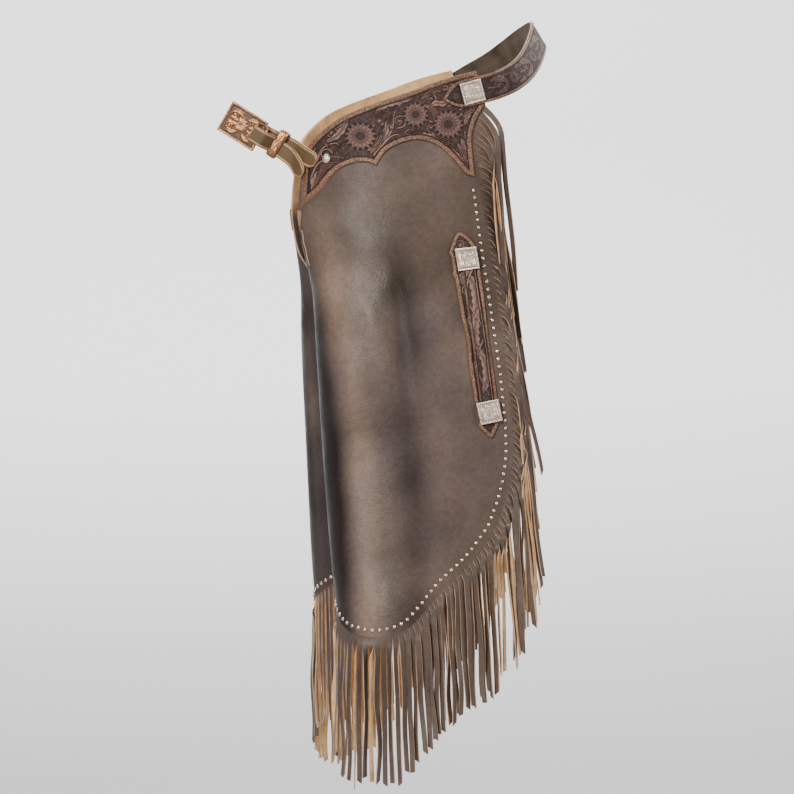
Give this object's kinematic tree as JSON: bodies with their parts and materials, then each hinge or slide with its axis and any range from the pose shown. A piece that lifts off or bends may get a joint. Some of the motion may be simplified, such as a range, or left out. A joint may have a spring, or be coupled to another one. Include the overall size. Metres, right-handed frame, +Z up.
{
  "type": "fringed leather chaps",
  "caption": "Short fringed western leather chaps with tooled scalloped yokes, a buckled front strap, a back belt and square plates, filled out as worn.",
  "frame": {"origin": "middle of the waist loop at hip height, where the wearer holds the chaps up", "axes": "+Z up; the wearer faces -X; the wearer's left leg is on the -Y side"},
  "size_m": [0.416, 0.4014, 0.9541],
  "materials": {
    "oiled_leather": "oiled grey-brown",
    "tooled_leather": "tooled dark brown with a pale border",
    "tan_leather": "smooth tan",
    "rough_leather": "rough flesh side",
    "engraved_silver": "engraved, warm silver",
    "engraved_copper": "engraved, copper-toned"
  },
  "bodies": {
    "root": {"belt": "tooled_leather", "belt_plate_left": "engraved_silver", "belt_plate_right": "engraved_silver", "edge_tab_left": "rough_leather", "edge_tab_right": "rough_leather", "fringe_left": "oiled_leather", "fringe_right": "oiled_leather", "front_buckle": "engraved_copper", "front_keeper": "engraved_copper", "front_strap_left": "tan_leather", "front_strap_right": "tan_leather", "leg_left": "oiled_leather", "leg_right": "oiled_leather", "leg_strap_lower_left": "oiled_leather", "leg_strap_lower_right": "oiled_leather", "leg_strap_upper_left": "oiled_leather", "leg_strap_upper_right": "oiled_leather", "side_patch_left": "tooled_leather", "side_patch_right": "tooled_leather", "side_plate_lower_left": "engraved_silver", "side_plate_lower_right": "engraved_silver", "side_plate_upper_left": "engraved_silver", "side_plate_upper_right": "engraved_silver", "side_strap_left": "tooled_leather", "side_strap_right": "tooled_leather", "snap_left": "engraved_silver", "snap_right": "engraved_silver", "yoke_left": "tooled_leather", "yoke_right": "tooled_leather"}
  },
  "joints": []
}
